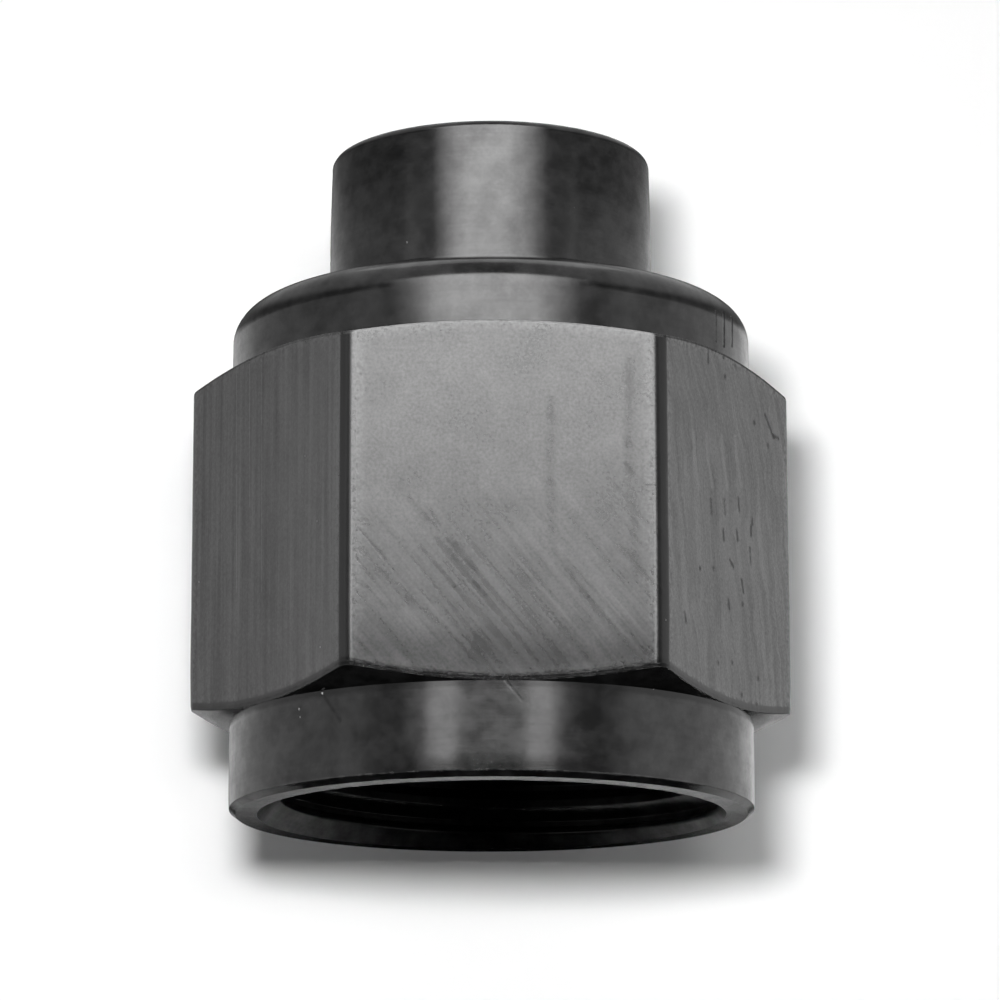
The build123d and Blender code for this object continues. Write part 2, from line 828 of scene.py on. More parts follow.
@dataclass(frozen=True)
class Scratch:
    """A scratch, pit or chip. Places in mm, counted as its finish counts them.

    Attributes:
        start: One end.
        end: The other end, the same as start for a pit.
        width: Half its width.
        depth: How deep it is, below 0 for a raised line.
    """

    start: Point
    end: Point
    width: float
    depth: float = 1.0


@dataclass(frozen=True)
class Marks:
    """What the tool marks of a surface feed.

    Attributes:
        height: Height for the bump.
        tone: Factor for the colour, on flats also with painted shade and painted light.
        dull: Roughness.
        gloss: Weight of the thin seal over the layer, which is lowered where shade is painted.
    """

    height: Socket
    tone: Socket
    dull: Socket
    gloss: Socket


@dataclass(frozen=True)
class Cut:
    """How strongly each kind of tool line shows on a flat.

    Attributes:
        slanted: Slanting wear on its lower half.
        drawn: Tone of the upright drawn lines.
        swept: Bent upright lines that a slow cutter leaves.
        lean: Gain in tone with each mm along the flat, a painted gradient of light across it.
        mottled: Grain and clouds in its tone.
        worn: Gain in gloss along its borders.
    """

    slanted: float = 0.2
    drawn: float = 0.5
    swept: float = 0.1
    lean: float = 0.0
    mottled: float = 0.1
    worn: float = 0.0


def on_flat(flat: Flat, width: float, depth: float, *ends: tuple[float, ...]) -> tuple[Scratch, ...]:
    """Scratches of one kind on a flat.

    Args:
        flat: The flat that they lie on.
        width: Half their width.
        depth: How deep they are.
        *ends: For each scratch the places along and up the flat of its two ends, or of one point.

    Returns:
        The scratches.
    """
    apart = flat.value * APART
    return tuple(Scratch((*end[:2], apart), (*end[-2:], apart), width, depth) for end in ends)


FRONT_SCRATCHES = (
    *on_flat(
        Flat.FRONT, 0.2, 0.4,
        (-4.41, 12.86, -2.57, 10.85), (-2.57, 10.85, 0.77, 6.84), (-3.87, 10.52, -2.27, 8.67),
        (-2.27, 8.67, 0.16, 5.9), (-5.62, 9.42, -2.72, 6.81), (-2.72, 6.81, -0.3, 4.5),
        (-2.27, 10.69, -0.44, 8.38), (-4.47, 8.19, -0.75, 4.82), (2.24, 10.42, 3.83, 8.25),
        (3.83, 8.25, 5.64, 6.1), (-3.1, 10.9, -0.9, 8.3), (-1.4, 8.9, 1.2, 5.6),
    ),
    *on_flat(
        Flat.FRONT, 0.18, 0.3,
        (2.77, 9.96, 4.14, 8.57), (-6.3, 8.72, -5.46, 7.72), (-4.9, 9.6, -3.3, 7.9),
        (-3.34, 12.24, -3.03, 11.62), (-0.13, 12.74, 0.18, 12.27), (5.56, 14.52, 5.94, 14.05),
    ),
    *on_flat(
        Flat.FRONT, 0.4, 0.3,
        (2.16, 17.48, 2.1, 13.54), (2.1, 13.54, 2.24, 10.73), (5.83, 19.42, 5.72, 15.47),
        (5.72, 15.47, 6.07, 9.5), (4.92, 10.52, 6.1, 10.2), (2.5, 6.5, 2.75, 6.25),
    ),
    *on_flat(Flat.FRONT, 0.08, 0.9, (6.47, 13.54, 6.94, 13.51)),
)
RIGHT_RIDGES = on_flat(
    Flat.RIGHT, 0.26, -0.7,
    (-3.99, 16.65, -3.85, 15.4), (-3.85, 15.4, -3.4, 14.2), (-2.48, 16.97, -2.34, 15.7),
    (-2.34, 15.7, -1.9, 14.5), (-0.77, 17.16, -0.62, 16.0), (-0.62, 16.0, -0.2, 14.8),
    (0.78, 17.49, 0.95, 16.4), (0.95, 16.4, 1.4, 15.2),
)
RIGHT_SCRATCHES = (
    *on_flat(
        Flat.RIGHT, 0.2, 1.3,
        (-2.08, 13.83, -2.03, 13.2), (-0.56, 14.13, -0.5, 13.49), (1.07, 14.53, 1.17, 13.98),
        (2.68, 13.86, 2.67, 13.61), (-0.72, 12.65, -0.66, 12.18), (0.82, 12.94, 0.92, 12.47),
        (2.51, 13.42, 2.49, 13.01), (2.35, 12.33, 2.41, 11.61), (4.38, 19.31, 5.35, 18.44),
        (5.35, 18.47, 5.95, 18.48), (0.0, 11.33, 0.38, 11.08), (1.32, 10.6, 1.5, 10.07),
        (-5.14, 7.88, -5.04, 7.51), (-2.17, 21.09, -2.19, 20.51), (-0.25, 9.36, -0.15, 8.98),
    ),
    *on_flat(
        Flat.RIGHT, 0.22, 1.3,
        (4.7, 17.87), (3.09, 18.66), (1.4, 9.45), (-1.49, 6.16), (0.11, 6.42), (3.11, 6.15), (1.21, 5.05),
        (2.98, 4.9), (-0.45, 21.1), (0.9, 21.0), (-0.29, 20.2), (-3.42, 10.31), (-1.92, 10.58),
    ),
)
LEFT_RIDGES = on_flat(
    Flat.LEFT, 0.07, -0.5, (-2.81, 21.2, -2.57, 10.1), (-0.4, 21.0, -0.18, 9.7), (-1.55, 21.0, -1.4, 14.0)
)
LEFT_CHIPS = on_flat(Flat.LEFT, 0.06, 0.5, (3.73, 15.45), (4.87, 12.14), (5.22, 6.17), (-6.29, 11.17))
ROUND_SCRATCHES = (
    Scratch((0.01, -12.62, 4.38), (0.78, -12.6, 3.46), 0.12, 0.25),
    Scratch((-8.13, -9.66, 4.06), (-7.44, -10.2, 2.9), 0.16, 0.6),
    Scratch((10.41, -7.14, 23.24), (10.39, -7.17, 21.85), 0.14, 0.8),
    Scratch((10.87, -6.43, 23.43), (10.84, -6.47, 21.79), 0.16, 2.2),
    Scratch((11.34, -5.56, 23.37), (11.31, -5.6, 22.02), 0.16, 2.2),
)
ROUND_CHIPS = (
    Scratch((-8.27, -9.54, 4.26), (-8.25, -9.56, 4.24), 0.08),
    Scratch((-9.32, -8.52, 3.69), (-9.31, -8.53, 3.66), 0.08, 0.7),
    Scratch((-9.27, -8.57, 3.3), (-9.27, -8.57, 3.29), 0.07, 0.4),
    Scratch((6.98, -10.52, 4.43), (6.96, -10.53, 4.4), 0.07, 0.5),
    Scratch((-4.32, -6.61, 26.68), (-4.31, -6.62, 26.66), 0.07, 0.35),
)


@dataclass(frozen=True)
class Painter:
    """Places the shared effects on one surface of the cap.

    Attributes:
        nodes: The material's nodes.
        effects: The shared effects.
        place: Where a point lies, in mm.
    """

    nodes: NodeTree
    effects: Effects
    place: Socket

    def lines(
        self, stretch: Point, seed: float, angle: float = 0.0, detail: float = 2.0, at: Socket | None = None
    ) -> Socket:
        """One layer of tool lines or grain.

        Args:
            stretch: How often it repeats in each direction.
            seed: Tells the layers apart.
            angle: Slant of the lines in degrees.
            detail: Layers of finer grain in it.
            at: Place of a point where it isn't the surface's own.

        Returns:
            Its height, from 0 to 1.
        """
        given = {"Stretch": stretch, "Seed": seed, "Angle": math.radians(angle), "Detail": detail}
        given["Vector"] = self.place if at is None else at
        return self.effects.streaks.place(self.nodes, given)

    def scratched(self, scratches: tuple[Scratch, ...]) -> Socket | float:
        """Depth of a set of scratches.

        Args:
            scratches: The scratches.

        Returns:
            Their depths added up, 0 where there are none.
        """
        depth: Socket | float = 0.0
        for mark in scratches:
            ends = {"Vector": self.place, "Start": mark.start, "End": mark.end}
            given = ends | {"Width": mark.width, "Deep": mark.depth}
            depth = self.nodes.plus(self.effects.scratch.place(self.nodes, given), depth)
        return depth


@dataclass(frozen=True)
class Anodised:
    """Black anodised aluminium as one kind of tool leaves it.

    Attributes:
        name: The material's name.
        surface: The kind of tool.
        colour: Colour of the dyed layer.
        flat: The flat that it is for, or None for all that have no finish of their own.
        cut: The tool lines of a flat.
        bare: Colour of bare metal where the layer is nicked.
        roughness: Roughness of the layer.
        index: Refractive index of the layer, which sets its gloss together with a thin seal over it.
        unsealed_and_shaded: How much of the seal is missing; larger in the bore, where it is painted shade.
        scratches: Scratches and ridges that also bend the light, about 20 at most.
        pits: Pits and scratches too small to bend it.
        chips: Specks where the layer has come off.
        relief: Height in metres of a tool mark of height 1.
        brightest: Highest factor that the tone can reach.
    """

    name: str
    surface: Surface
    colour: Colour
    flat: Flat | None = None
    cut: Cut = Cut()
    bare: Colour = (0.4, 0.4, 0.4, 1.0)
    roughness: float = 0.18
    index: float = 1.6
    unsealed_and_shaded: float = 1.2
    scratches: tuple[Scratch, ...] = ()
    pits: tuple[Scratch, ...] = ()
    chips: tuple[Scratch, ...] = ()
    relief: float = 0.01 * MM
    brightest: float = 3.0

    def material(self, effects: Effects) -> bpy.types.Material:
        """Builds the material.

        Args:
            effects: The shared effects.

        Returns:
            The material.
        """
        made = bpy.data.materials.new(self.name)
        nodes = blank(made)
        place, edge = self._place(nodes), nodes.attribute("edge")
        painter = Painter(nodes, effects, place)
        marks = self._milled(painter, edge) if self.surface is Surface.MILLED else self._turned(painter)
        uneven = nodes.remap(painter.lines((1.4, 1.4, 1.4), 11.0), 0.3, 0.65, 0.5, 1.2)
        deep = nodes.times(painter.scratched(self.scratches), uneven)
        depth = nodes.total((painter.scratched(self.pits), uneven), (deep, 1.0))
        nicks = effects.nicks.place(nodes, {"Vector": place, "Edge": edge, "Scale": 2.2, "Amount": 0.6})
        specks = effects.specks.place(nodes, {"Vector": place, "Scale": 0.55, "Size": 0.03, "Share": 0.2})
        bare = nodes.total((nicks, 0.06), (specks, 0.12), (painter.scratched(self.chips), 1.0))
        tone = nodes.math("MAXIMUM", nodes.total((depth, -0.9), (marks.tone, 1.0)), 0.05)
        full = tuple(self.brightest * value for value in self.colour[:3]) + (1.0,)
        dyed = nodes.blend(nodes.math("DIVIDE", tone, self.brightest), BLACK, full)
        gloss = {0: nodes.total((depth, -0.6), (marks.gloss, 1.0)), 1: 0.0, 2: 1.0}
        height = nodes.minus(marks.height, deep)
        bump = nodes.add("Bump", {"Strength": 1.0, "Distance": self.relief, "Height": height})
        worn = nodes.times(nodes.math("ABSOLUTE", depth), 0.1)
        inputs = {
            "Base Color": nodes.blend(bare, dyed, self.bare),
            "Roughness": nodes.plus(marks.dull, worn),
            "IOR": self.index,
            "Coat Weight": nodes.add("Clamp", gloss).outputs[0],
            "Coat Roughness": self.roughness,
            "Normal": bump.outputs[0],
        }
        nodes.add("OutputMaterial", {"Surface": nodes.add("BsdfPrincipled", inputs).outputs[0]})
        return made

    def _place(self, nodes: NodeTree) -> Socket:
        """Where a point lies on the surface, in mm.

        Args:
            nodes: The material's nodes.

        Returns:
            Along and up its own flat for milled faces, and in space for round ones.
        """
        if self.surface is Surface.MILLED:
            along, up, _ = nodes.split(nodes.add("UVMap", uv_map="flats").outputs[0])
            apart = nodes.times(nodes.attribute("flat"), APART)
            return nodes.add("CombineXYZ", {0: along, 1: up, 2: apart}).outputs[0]
        return nodes.vector("SCALE", nodes.add("TexCoord").outputs["Object"], 1 / MM)

    def _turned(self, painter: Painter) -> Marks:
        """Tool marks of a turned or bored surface, with painted shade as less gloss along the crease above
        the skirt.

        Args:
            painter: Places the effects.

        Returns:
            What they feed.
        """
        nodes = painter.nodes
        rings = painter.lines((0.15, 0.15, 7.0), 0.0, detail=3.0)
        grain = painter.lines((6.0, 6.0, 6.0), 1.0, detail=1.0)
        cloud = painter.lines((0.6, 0.6, 0.6), 5.0, detail=3.0)
        stain = painter.lines((1.1, 1.1, 1.3), 6.0, detail=3.0)
        height = nodes.split(painter.place)[2]
        # painted shade: less gloss along the crease where the hexagon meets the skirt
        crease = nodes.remap(nodes.math("ABSOLUTE", nodes.minus(height, CREASE)), 0.05, 0.4, 1.0, 0.0)
        shares = [(cloud, 1.9), (stain, 0.9), (rings, 0.4), (grain, 0.4), (crease, -1.0)]
        return Marks(
            nodes.total((rings, 0.12), (grain, 0.09), (cloud, 0.3), (stain, 0.1)),
            nodes.remap(stain, 0.35, 0.68, 0.5, 1.6),
            nodes.remap(stain, 0.3, 0.7, self.roughness - 0.02, self.roughness + 0.03),
            nodes.total(*shares, (-self.unsealed_and_shaded, 1.0)),
        )

    def _milled(self, painter: Painter, edge: Socket) -> Marks:
        """Tool marks of a flat, as its cut says, with painted shade on the rounds between flats and along its
        lower edge, and painted light from its lean.

        Args:
            painter: Places the effects.
            edge: 1 on an outer edge and 0 away from it.

        Returns:
            What they feed.
        """
        nodes, cut, lines = painter.nodes, self.cut, painter.lines
        ends = nodes.attribute("border")
        # corner marks the rounds between flats, whose tone and gloss are lowered further down as painted
        # shade.
        border, corner = nodes.math("MAXIMUM", ends, 0.0), nodes.times(nodes.math("MINIMUM", ends, 0.0), -1.0)
        grain, cloud = lines((7.0, 7.0, 1.0), 8.0, detail=1.0), lines((0.35, 0.35, 1.0), 9.0, detail=3.0)
        along, up, apart = nodes.split(painter.place)
        above = nodes.minus(up, BEND)
        upper, lower = nodes.math("MAXIMUM", above, 0.0), nodes.math("MINIMUM", above, 0.0)
        swung = nodes.total((nodes.times(upper, upper), 0.04), (lower, 0.2), (along, 1.0), (cloud, 2.0))
        bent = nodes.add("CombineXYZ", {0: swung, 1: up, 2: apart}).outputs[0]
        slanted, hair = lines((0.1, 2.7, 1.0), 3.0, 50.0), lines((0.3, 6.5, 1.0), 4.0, 50.0)
        drawn, speckle = lines((3.2, 0.07, 1.0), 2.0), lines((4.5, 4.5, 1.0), 10.0, detail=1.0)
        swept, fine = lines((1.7, 0.13, 1.0), 6.0, at=bent), lines((5.0, 0.3, 1.0), 7.0, at=bent)
        low = nodes.remap(up, 8.5, 15.0, cut.slanted, 0.1 * cut.slanted)
        dark = nodes.times(edge, nodes.remap(up, 7.0, 8.0, 1.0, 0.0))  # painted shade along the edge below the flat
        rubbed, dotted = nodes.times(slanted, low), nodes.times(speckle, border)
        height = nodes.total(
            (rubbed, 0.62), (nodes.times(hair, low), 0.07), (drawn, 0.12), (swept, 1.6 * cut.swept),
            (fine, 0.35 * cut.swept), (grain, 0.1), (cloud, 0.8), (dotted, 0.6),
        )
        # along times lean is a painted gradient of light across the flat
        tone = nodes.total(
            (along, cut.lean), (drawn, cut.drawn), (swept, 2 * cut.swept), (grain, 0.9 * cut.mottled),
            (cloud, 1.5 * cut.mottled), (rubbed, 1.7), (low, -0.85), (dotted, 4 * cut.worn),
            (border, 0.15 - 1.7 * cut.worn), (1.0 - cut.drawn / 2 - cut.swept - 1.2 * cut.mottled, 1.0),
        )
        # painted shade in the tone on the rounds between flats and along the edge below the flat
        kept = nodes.total((corner, -0.75), (dark, -0.9), (1.0, 1.0))
        # painted shade in the gloss too, from corner and dark
        gloss = nodes.total(
            (cloud, 0.8), (grain, 1.1), (drawn, 1.6 * cut.drawn), (swept, 1.8 * cut.swept),
            (fine, 0.9 * cut.swept), (rubbed, 0.9), (low, -0.45), (dotted, 3.0), (border, cut.worn - 1.4),
            (corner, -0.8), (dark, -2.0), (-0.35 - 0.8 * cut.drawn - 1.35 * cut.swept, 1.0),
        )
        dull = nodes.remap(cloud, 0.3, 0.7, self.roughness - 0.01, self.roughness + 0.02)
        return Marks(height, nodes.times(nodes.math("MAXIMUM", tone, 0.1), kept), dull, gloss)


def milled(name: str, **own: object) -> Anodised:
    """A finish for milled faces.

    Args:
        name: The material's name.
        **own: What it has of its own.

    Returns:
        The finish.
    """
    return Anodised(name, Surface.MILLED, (0.032, 0.032, 0.0322, 1.0), roughness=0.19, **own)


FINISHES = (
    Anodised(
        "anodised_turned", Surface.TURNED, (0.006, 0.006, 0.0061, 1.0),
        scratches=ROUND_SCRATCHES, chips=ROUND_CHIPS,
    ),
    milled("anodised_milled"),
    milled(
        "anodised_front", flat=Flat.FRONT, pits=FRONT_SCRATCHES,
        cut=Cut(slanted=1.0, drawn=0.0, mottled=1.0, worn=0.5),
    ),
    # lean paints a gradient of light across the right and left flats.
    milled(
        "anodised_right", flat=Flat.RIGHT, pits=RIGHT_RIDGES + RIGHT_SCRATCHES,
        cut=Cut(drawn=0.1, swept=0.75, lean=-0.06, mottled=0.6),
    ),
    milled(
        "anodised_left", flat=Flat.LEFT, scratches=LEFT_RIDGES, chips=LEFT_CHIPS,
        cut=Cut(drawn=1.0, lean=0.06),
    ),
    # The bore's darker colour, lower index and thinner seal are painted shade inside it.
    Anodised(
        "anodised_bored", Surface.BORED, (0.003, 0.003, 0.003, 1.0), roughness=0.3, index=1.38, unsealed_and_shaded=1.5
    ),
)


@dataclass
class Skin:
    """Gathers bands into one closed mesh.

    Attributes:
        columns: The columns of points.
        finishes: The finishes, in the order of the mesh's materials.
        bands: The bands in order. The faces of one band are shaded smoothly together.
    """

    columns: Columns
    finishes: tuple[Anodised, ...]
    bands: list[Band]

    def mesh(self, name: str) -> bpy.types.Mesh:
        """Makes the mesh.

        Args:
            name: Its name.

        Returns:
            The mesh, in metres, with its shading, places on the flats and worn edges.
        """
        points, wears, cells, places, kinds = self._cells()
        keys = np.round(points * POINTS_PER_MM).astype(np.int64)
        _, first, same = np.unique(keys, axis=0, return_index=True, return_inverse=True)
        vertices = points[first]
        faces, corners, face_kinds = self._faces(same.reshape(-1), cells, places, kinds)
        made = bpy.data.meshes.new(name)
        made.from_pydata((vertices * MM).tolist(), [], faces)
        self._attributes(made, wears[first], corners, face_kinds)
        self._shade(made, vertices, faces, face_kinds)
        return made

    def _cells(self) -> tuple[np.ndarray, np.ndarray, np.ndarray, np.ndarray, np.ndarray]:
        """Points and four-cornered cells of all bands.

        Returns:
            Points, their edge and border values, the cells' corner numbers, the corners' places on the
            flats, and for each cell its surface, flat and band.
        """
        cos, sin = np.cos(self.columns.angle), np.sin(self.columns.angle)
        parts: list[tuple[np.ndarray, ...]] = []
        count = len(self.columns.angle)
        base = 0
        for number, band in enumerate(self.bands):
            rows = len(band.radius)
            points = np.stack([band.radius * cos, band.radius * sin, band.height], axis=-1)
            wears = np.stack([band.edge, band.border], axis=-1)
            row, column = np.meshgrid(np.arange(rows - 1), np.arange(count - 1), indexing="ij")
            corner = base + row * count + column
            cells = np.stack([corner, corner + count, corner + count + 1, corner + 1], -1)
            left, right = self.columns.along[column], self.columns.closing[column + 1]
            high, low = band.height[row, column], band.height[row + 1, column]
            high_next, low_next = band.height[row, column + 1], band.height[row + 1, column + 1]
            places = np.stack([left, high, left, low, right, low_next, right, high_next], -1)
            flat = self.columns.flat[column]
            surface = np.full_like(flat, band.surface.value)
            if band.surface is Surface.MILLED:  # its coned ends are cut on the lathe
                level = np.abs(np.diff(band.radius, axis=0)) > np.abs(np.diff(band.height, axis=0))
                surface[level[:, :-1]] = Surface.TURNED.value
            kinds = np.stack([surface, flat, np.full_like(flat, number)], -1)
            parts.append((
                points.reshape(-1, 3), wears.reshape(-1, 2), cells.reshape(-1, 4), places.reshape(-1, 4, 2),
                kinds.reshape(-1, 3),
            ))
            base += rows * count
        return tuple(np.concatenate(part) for part in zip(*parts))

    def _faces(
        self, same: np.ndarray, cells: np.ndarray, places: np.ndarray, kinds: np.ndarray
    ) -> tuple[list[list[int]], list[np.ndarray], np.ndarray]:
        """Faces with shared points, without those that have shrunk to nothing.

        Args:
            same: Number of the shared point that stands for each point.
            cells: The cells' corner numbers.
            places: The corners' places on the flats.
            kinds: Surface, flat and band of each cell.

        Returns:
            The faces, the places of their corners in order, and the kinds of the faces that are left.
        """
        faces, corners, kept = [], [], []
        for number, cell in enumerate(same[cells].tolist()):
            own = [k for k in range(len(cell)) if cell[k] not in cell[:k]]
            if len(own) > 2:
                faces.append([cell[k] for k in own])
                corners.extend(places[number, k] for k in own)
                kept.append(number)
        return faces, corners, kinds[kept]

    def _attributes(
        self, made: bpy.types.Mesh, wear: np.ndarray, corners: list[np.ndarray], kinds: np.ndarray
    ) -> None:
        """Stores what the materials read.

        Args:
            made: The mesh.
            wear: Edge and border value of each point.
            corners: Place on its flat of each face corner.
            kinds: Surface, flat and band of each face.
        """
        layer = made.uv_layers.new(name="flats")
        layer.data.foreach_set("uv", np.array(corners, dtype=np.float32).reshape(-1))
        edge, border = wear.T
        stored = [("edge", "POINT", edge), ("border", "POINT", border), ("flat", "FACE", kinds[:, 1])]
        for name, domain, values in stored:
            values = np.ascontiguousarray(values, dtype=np.float32)
            made.attributes.new(name, "FLOAT", domain).data.foreach_set("value", values)
        index = np.zeros(len(kinds), dtype=np.int32)
        for number, finish in enumerate(self.finishes):
            chosen = kinds[:, 0] == finish.surface.value
            if finish.flat is not None:
                chosen &= kinds[:, 1] == finish.flat.value
            index[chosen] = number
        made.polygons.foreach_set("material_index", index)

    def _shade(
        self, made: bpy.types.Mesh, vertices: np.ndarray, faces: list[list[int]], kinds: np.ndarray
    ) -> None:
        """Sets normals that are smooth within a band, led by its larger faces.

        Args:
            made: The mesh.
            vertices: Its points.
            faces: Its faces.
            kinds: Surface, flat and band of each face.
        """
        padded = np.array([face + face[-1:] * (4 - len(face)) for face in faces])
        a, b, c, d = (vertices[padded[:, k]] for k in range(4))
        normals = np.cross(c - a, d - b)
        thin = np.linalg.norm(normals, axis=1) < THIN
        normals[thin] = np.cross(b[thin] - a[thin], c[thin] - a[thin])
        owner = np.repeat(np.arange(len(faces)), [len(face) for face in faces])
        point = np.array([vertex for face in faces for vertex in face])
        key = point * len(self.bands) + kinds[owner, 2]
        shared = np.unique(key, return_inverse=True)[1].reshape(-1)
        total = np.zeros((shared.max() + 1, 3))
        np.add.at(total, shared, normals[owner])
        total /= np.maximum(np.linalg.norm(total, axis=1, keepdims=True), THIN)
        made.polygons.foreach_set("use_smooth", np.ones(len(faces), dtype=bool))
        made.normals_split_custom_set(total[shared].tolist())


def stand(name: str, data: bpy.types.ID, place: Matrix | None = None) -> bpy.types.Object:
    """Puts an object into the scene.

    Args:
        name: Its name.
        data: Its mesh, lamp or camera.
        place: Where it stands, or None to leave it at the origin.

    Returns:
        The object.
    """
    made = bpy.data.objects.new(name, data)
    if place is not None:
        made.matrix_world = place
    bpy.context.collection.objects.link(made)
    return made


def direction(azimuth: float, elevation: float) -> Vector:
    """Direction away from the cap.

    Args:
        azimuth: Degrees round the cap, 0 in front and growing to the right.
        elevation: Degrees above the horizon.

    Returns:
        The direction, of length 1.
    """
    turn, lift = math.radians(azimuth), math.radians(elevation)
    return Vector((math.sin(turn) * math.cos(lift), -math.cos(turn) * math.cos(lift), math.sin(lift)))


def aimed(place: Vector, away: Vector) -> Matrix:
    """Placement at a point, upright and with the back towards a direction.

    Args:
        place: The point, in metres.
        away: The direction of its own Z axis.

    Returns:
        The placement.
    """
    return Matrix.Translation(place) @ away.to_track_quat("Z", "Y").to_matrix().to_4x4()


@dataclass
class Cap:
    """The whole cap, one piece of metal, from its features."""

    knob: Knob = field(default_factory=Knob)
    shoulder: Shoulder = field(default_factory=Shoulder)
    hexagon: Hexagon = field(default_factory=Hexagon)
    skirt: Skirt = field(default_factory=Skirt)
    thread: Thread = field(default_factory=Thread)
    well: Well = field(default_factory=Well)
    finishes: tuple[Anodised, ...] = FINISHES

    def build(self, top: float) -> bpy.types.Object:
        """Builds the cap's object.

        Args:
            top: Height of the knob's top in mm, from the frame.

        Returns:
            The object, linked to the scene.
        """
        columns = self.hexagon.columns()
        made = stand("cap", Skin(columns, self.finishes, self._bands(columns, top)).mesh("cap"))
        log.info("cap: %d points, %d faces", len(made.data.vertices), len(made.data.polygons))
        return made

    def _bands(self, columns: Columns, top: float) -> list[Band]:
        """The cap's skin from the middle of the knob's top to the drill point.

        Args:
            columns: The columns of points.
            top: Height of the knob's top.

        Returns:
            The bands in order.
        """
        outline = Outline(columns)
        foot = self.skirt.height
        wall, collar = self.shoulder.diameter / 2, self.skirt.diameter / 2
        upper = Corner(wall, self.hexagon.end(wall, foot, True), sharp=False)
        lower = Corner(collar, self.hexagon.end(collar, foot, False), sharp=False)
        shoulder = self.shoulder.corners(self.knob.diameter / 2, foot + self.hexagon.length)
        side = self.hexagon.corners(columns.hexagon, foot)
        flats = outline.band([upper, *side, lower], Surface.MILLED)
        flats.border = np.where(columns.border < 0, columns.border, np.maximum(flats.border, columns.border))
        rim = self.skirt.corners(self.thread.mouth_diameter / 2)
        thread = self.thread.band(columns)
        inner = self.well.corners(thread.radius[-1], self.thread.depth)
        return [
            outline.band([*self.knob.corners(top), *shoulder, upper], Surface.TURNED),
            flats,
            outline.band([lower, *rim], Surface.TURNED),
            thread,
            outline.band(inner, Surface.BORED),
        ]

    def dress(self, made: bpy.types.Object, effects: Effects) -> None:
        """Gives the cap its finishes and ties it to the frame.

        Args:
            made: The cap's object.
            effects: The shared effects.
        """
        for finish in self.finishes:
            made.data.materials.append(finish.material(effects))
        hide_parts(NODE)
        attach(made, "root")


@dataclass
class Sheet:
    """A plain pale sheet of the studio, seen from one side only.

    Attributes:
        name: Its name.
        centre: Its middle in mm.
        facing: Direction that its visible side faces.
        size: Width and height in mm.
        glow: Light that it gives off for the camera alone, to reach white.
        in_gloss: Whether the cap's gloss shows it, with a painted shadow in its colour there: dim, dark near
            the cap and lighter lower down and to the right.
        colour: Colour of its paper.
    """

    name: str
    centre: Point
    facing: Point
    size: tuple[float, float]
    glow: float
    in_gloss: bool = False
    colour: Colour = (0.9, 0.9, 0.9, 1.0)

    def build(self) -> None:
        """Builds the sheet."""
        x, y = self.size[0] / 2 * MM, self.size[1] / 2 * MM
        made = bpy.data.meshes.new(self.name)
        made.from_pydata([(-x, -y, 0), (x, -y, 0), (x, y, 0), (-x, y, 0)], [], [(0, 1, 2, 3)])
        made.materials.append(self._paper())
        sheet = stand(self.name, made, aimed(Vector(self.centre) * MM, Vector(self.facing)))
        log.info("%s: %.0f by %.0f mm", self.name, *self.size)

    def _paper(self) -> bpy.types.Material:
        """Matt white paper that only its front side shows.

        Returns:
            The material.
        """
        made = bpy.data.materials.new(self.name + "_paper")
        nodes = blank(made)
        geometry, path = nodes.add("NewGeometry").outputs, nodes.add("LightPath").outputs
        camera = path["Is Camera Ray"]
        seen, colour = camera, self.colour
        if self.in_gloss:
            seen = nodes.math("MAXIMUM", camera, path["Is Glossy Ray"])
            # painted shadow: in the gloss the paper is dark near the cap and lighter lower down and to the
            # right
            x, _, z = nodes.split(geometry["Position"])
            upper = nodes.remap(z, -3.3 * MM, -1.3 * MM, 0.2, 0.0)
            lower = nodes.remap(z, -4.6 * MM, -2.4 * MM, 0.2, 0.0)
            dim = nodes.times(nodes.plus(upper, lower), nodes.remap(x, -14 * MM, 14 * MM, 0.8, 1.1))
            colour = nodes.blend(nodes.math("MAXIMUM", dim, camera), BLACK, colour)
        front = nodes.times(seen, nodes.minus(1.0, geometry["Backfacing"]))
        matt = nodes.add("BsdfDiffuse", {"Color": colour})
        glow = nodes.add("Emission", {"Strength": nodes.times(camera, self.glow)})
        paper = nodes.add("AddShader", {0: matt.outputs[0], 1: glow.outputs[0]})
        clear = nodes.add("BsdfTransparent")
        mixed = nodes.add("MixShader", {0: front, 1: clear.outputs[0], 2: paper.outputs[0]})
        nodes.add("OutputMaterial", {"Surface": mixed.outputs[0]})
        return made


@dataclass
class Lamp:
    """A soft flat lamp that faces the cap.

    Attributes:
        name: The lamp's name.
        azimuth: Degrees to the right of the camera's side.
        elevation: Degrees above the horizon.
        width: Degrees that it spans across.
        height: Degrees that it spans upwards.
        radiance: How bright its face is.
        seen: What sees it.
        distance: Distance from the cap in mm.
        oval: True for an oval face, False for a rectangular one.
    """

    name: str
    azimuth: float
    elevation: float
    width: float
    height: float
    radiance: float
    seen: Seen
    distance: float = 420.0
    oval: bool = False

    def build(self, facing: float, target: Vector) -> None:
        """Builds the lamp.

        Args:
            facing: Azimuth of the camera's side in degrees.
            target: The point that it faces, in metres.
        """
        away = direction(facing + self.azimuth, self.elevation)
        data = bpy.data.lights.new(self.name, "AREA")
        data.shape = "ELLIPSE" if self.oval else "RECTANGLE"
        data.size = 2 * self.distance * MM * math.tan(math.radians(self.width / 2))
        data.size_y = 2 * self.distance * MM * math.tan(math.radians(self.height / 2))
        data.energy = (math.pi if self.oval else 4) * data.size * data.size_y * self.radiance
        lamp = stand(self.name, data, aimed(target + away * self.distance * MM, away))
        lamp.visible_camera = False
        lamp.visible_glossy = self.seen is Seen.GLOSS
        lamp.visible_diffuse = self.seen is Seen.MATT
        log.info("lamp %s at %.0f, %.0f", self.name, self.azimuth, self.elevation)


